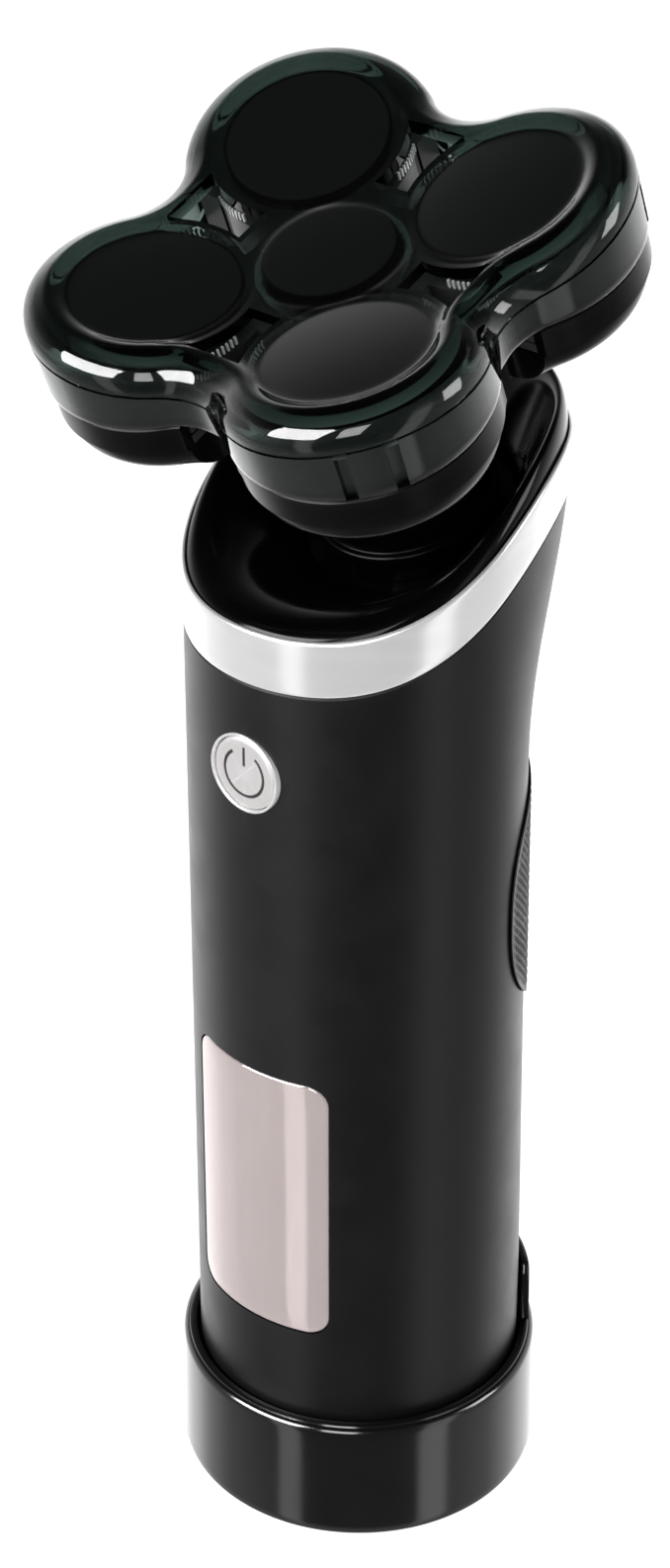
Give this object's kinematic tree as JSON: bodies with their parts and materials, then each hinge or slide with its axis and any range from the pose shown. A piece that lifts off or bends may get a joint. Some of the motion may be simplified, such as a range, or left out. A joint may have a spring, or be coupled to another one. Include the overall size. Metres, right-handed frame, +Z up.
{
  "type": "electric shaver",
  "caption": "Rotary head shaver with a tilting lobed head under a smoked cap, a black handle with a chrome band, button and display window, standing in a round dock.",
  "frame": {"origin": "centre of the dock's underside, on the surface it stands on", "axes": "+Z up; the button and display face -Y, the grip pad and dock inlet face +Y, +X is to the right seen from the front"},
  "size_m": [0.0622, 0.0675, 0.1992],
  "materials": {
    "black_plastic": "satin black moulded plastic",
    "chrome": "bright chrome plate",
    "smoked_plastic": "glossy smoked cap",
    "grip_rubber": "knurled soft rubber",
    "foot_rubber": "matte rubber",
    "window": "mirror-tinted display lens",
    "display_black": "black display module",
    "circuit_board": "solder mask",
    "contact_gold": "gold plated",
    "steel": "fine machined steel",
    "cell_wrap": "shrink wrap",
    "seal_rubber": "silicone",
    "frame_plastic": "moulded grey plastic",
    "gear_acetal": "natural acetal",
    "magnet": "sintered magnet"
  },
  "bodies": {
    "dock": {"dock_shell": "black_plastic", "dock_pad": "foot_rubber", "dock_bottom_plate": "black_plastic", "dock_board": "circuit_board", "dock_inlet": "steel", "dock_contacts": "contact_gold", "dock_screws": "steel"},
    "handle": {"handle_shell": "black_plastic", "handle_bottom_cap": "black_plastic", "bottom_seal": "seal_rubber", "bottom_screws": "steel", "handle_contacts": "contact_gold", "inner_frame": "frame_plastic", "battery": "cell_wrap", "control_board": "circuit_board", "display_module": "display_black", "display_window": "window", "button_switch": "steel", "button_bezel": "chrome", "grip_pad": "grip_rubber", "collar_ring": "chrome", "top_deck": "black_plastic", "neck_post": "black_plastic", "motor_can": "steel", "motor_magnets": "magnet"},
    "power_button": {"power_button": "chrome"},
    "motor_rotor": {"motor_rotor": "steel"},
    "gimbal": {"gimbal_ring": "steel", "gimbal_pins": "steel"},
    "head_base": {"head_housing": "black_plastic", "head_hub": "black_plastic", "gear_plate": "frame_plastic", "float_springs": "steel"},
    "sun_gear": {"sun_gear": "gear_acetal"},
    "cutter_frame": {"cutter_frame": "frame_plastic"},
    "head_cap": {"head_cap": "smoked_plastic"},
    "outer_gear_1": {"outer_gear_1": "gear_acetal"},
    "outer_gear_2": {"outer_gear_2": "gear_acetal"},
    "outer_gear_3": {"outer_gear_3": "gear_acetal"},
    "outer_gear_4": {"outer_gear_4": "gear_acetal"},
    "foil_1": {"foil_1": "steel"},
    "blade_1": {"blade_1": "steel"},
    "foil_2": {"foil_2": "steel"},
    "blade_2": {"blade_2": "steel"},
    "foil_3": {"foil_3": "steel"},
    "blade_3": {"blade_3": "steel"},
    "foil_4": {"foil_4": "steel"},
    "blade_4": {"blade_4": "steel"},
    "foil_5": {"foil_5": "steel"},
    "blade_5": {"blade_5": "steel"}
  },
  "joints": [
    {"name": "shaver_lift", "type": "slide", "parent": "dock", "child": "handle", "axis": [0, 0, 1], "range_m": [0, 0.06]},
    {"name": "power_press", "type": "slide", "parent": "handle", "child": "power_button", "axis": [0, 1, 0], "range_m": [0, 0.0008], "stiffness_N_per_m": 500},
    {"name": "motor_spin", "type": "hinge", "parent": "handle", "child": "motor_rotor", "pos_m": [0, 0.0035, 0.1588], "axis": [0, 0, 1], "continuous": true},
    {"name": "head_pitch", "type": "hinge", "parent": "handle", "child": "gimbal", "pos_m": [0, 0.0035, 0.1588], "axis": [1, 0, 0], "range_deg": [-6, 6], "stiffness_Nm_per_rad": 1},
    {"name": "head_roll", "type": "hinge", "parent": "gimbal", "child": "head_base", "pos_m": [0, 0.0035, 0.1588], "axis": [0, 0.9298, 0.3681], "range_deg": [-6, 6], "stiffness_Nm_per_rad": 1},
    {"name": "sun_spin", "type": "hinge", "parent": "head_base", "child": "sun_gear", "pos_m": [0, -0.00165, 0.17182], "axis": [0, -0.3681, 0.9298], "continuous": true},
    {"name": "outer_spin_1", "type": "hinge", "parent": "head_base", "child": "outer_gear_1", "pos_m": [0.01556, 0.01281, 0.17754], "axis": [0, -0.3681, 0.9298], "continuous": true},
    {"name": "outer_spin_2", "type": "hinge", "parent": "head_base", "child": "outer_gear_2", "pos_m": [-0.01556, 0.01281, 0.17754], "axis": [0, -0.3681, 0.9298], "continuous": true},
    {"name": "outer_spin_3", "type": "hinge", "parent": "head_base", "child": "outer_gear_3", "pos_m": [-0.01556, -0.01612, 0.16609], "axis": [0, -0.3681, 0.9298], "continuous": true},
    {"name": "outer_spin_4", "type": "hinge", "parent": "head_base", "child": "outer_gear_4", "pos_m": [0.01556, -0.01612, 0.16609], "axis": [0, -0.3681, 0.9298], "continuous": true},
    {"name": "frame_release", "type": "slide", "parent": "head_base", "child": "cutter_frame", "axis": [0, -0.3681, 0.9298], "range_m": [0, 0.015]},
    {"name": "cap_pull", "type": "slide", "parent": "cutter_frame", "child": "head_cap", "axis": [0, -0.3681, 0.9298], "range_m": [0, 0.03]},
    {"name": "foil_float_1", "type": "slide", "parent": "cutter_frame", "child": "foil_1", "axis": [0, 0.3681, -0.9298], "range_m": [0, 0.0008], "stiffness_N_per_m": 300},
    {"name": "blade_spin_1", "type": "hinge", "parent": "foil_1", "child": "blade_1", "pos_m": [0, -0.00388, 0.17744], "axis": [0, -0.3681, 0.9298], "continuous": true},
    {"name": "foil_float_2", "type": "slide", "parent": "cutter_frame", "child": "foil_2", "axis": [0.1188, 0.4733, -0.8728], "range_m": [0, 0.0008], "stiffness_N_per_m": 300},
    {"name": "blade_spin_2", "type": "hinge", "parent": "foil_2", "child": "blade_2", "pos_m": [0.01556, 0.0099, 0.1849], "axis": [-0.1188, -0.4733, 0.8728], "continuous": true},
    {"name": "foil_float_3", "type": "slide", "parent": "cutter_frame", "child": "foil_3", "axis": [-0.1188, 0.4733, -0.8728], "range_m": [0, 0.0008], "stiffness_N_per_m": 300},
    {"name": "blade_spin_3", "type": "hinge", "parent": "foil_3", "child": "blade_3", "pos_m": [-0.01556, 0.0099, 0.1849], "axis": [0.1188, -0.4733, 0.8728], "continuous": true},
    {"name": "foil_float_4", "type": "slide", "parent": "cutter_frame", "child": "foil_4", "axis": [-0.1188, 0.2524, -0.9603], "range_m": [0, 0.0008], "stiffness_N_per_m": 300},
    {"name": "blade_spin_4", "type": "hinge", "parent": "foil_4", "child": "blade_4", "pos_m": [-0.01556, -0.01903, 0.17345], "axis": [0.1188, -0.2524, 0.9603], "continuous": true},
    {"name": "foil_float_5", "type": "slide", "parent": "cutter_frame", "child": "foil_5", "axis": [0.1188, 0.2524, -0.9603], "range_m": [0, 0.0008], "stiffness_N_per_m": 300},
    {"name": "blade_spin_5", "type": "hinge", "parent": "foil_5", "child": "blade_5", "pos_m": [0.01556, -0.01903, 0.17345], "axis": [-0.1188, -0.2524, 0.9603], "continuous": true}
  ],
  "couplings": [
    {"joint": "sun_spin", "follows": "motor_spin", "ratio": 1},
    {"joint": "outer_spin_1", "follows": "motor_spin", "ratio": -0.96429},
    {"joint": "outer_spin_2", "follows": "motor_spin", "ratio": -0.96429},
    {"joint": "outer_spin_3", "follows": "motor_spin", "ratio": -0.96429},
    {"joint": "outer_spin_4", "follows": "motor_spin", "ratio": -0.96429},
    {"joint": "blade_spin_1", "follows": "motor_spin", "ratio": 1},
    {"joint": "blade_spin_2", "follows": "motor_spin", "ratio": -0.96429},
    {"joint": "blade_spin_3", "follows": "motor_spin", "ratio": -0.96429},
    {"joint": "blade_spin_4", "follows": "motor_spin", "ratio": -0.96429},
    {"joint": "blade_spin_5", "follows": "motor_spin", "ratio": -0.96429}
  ]
}
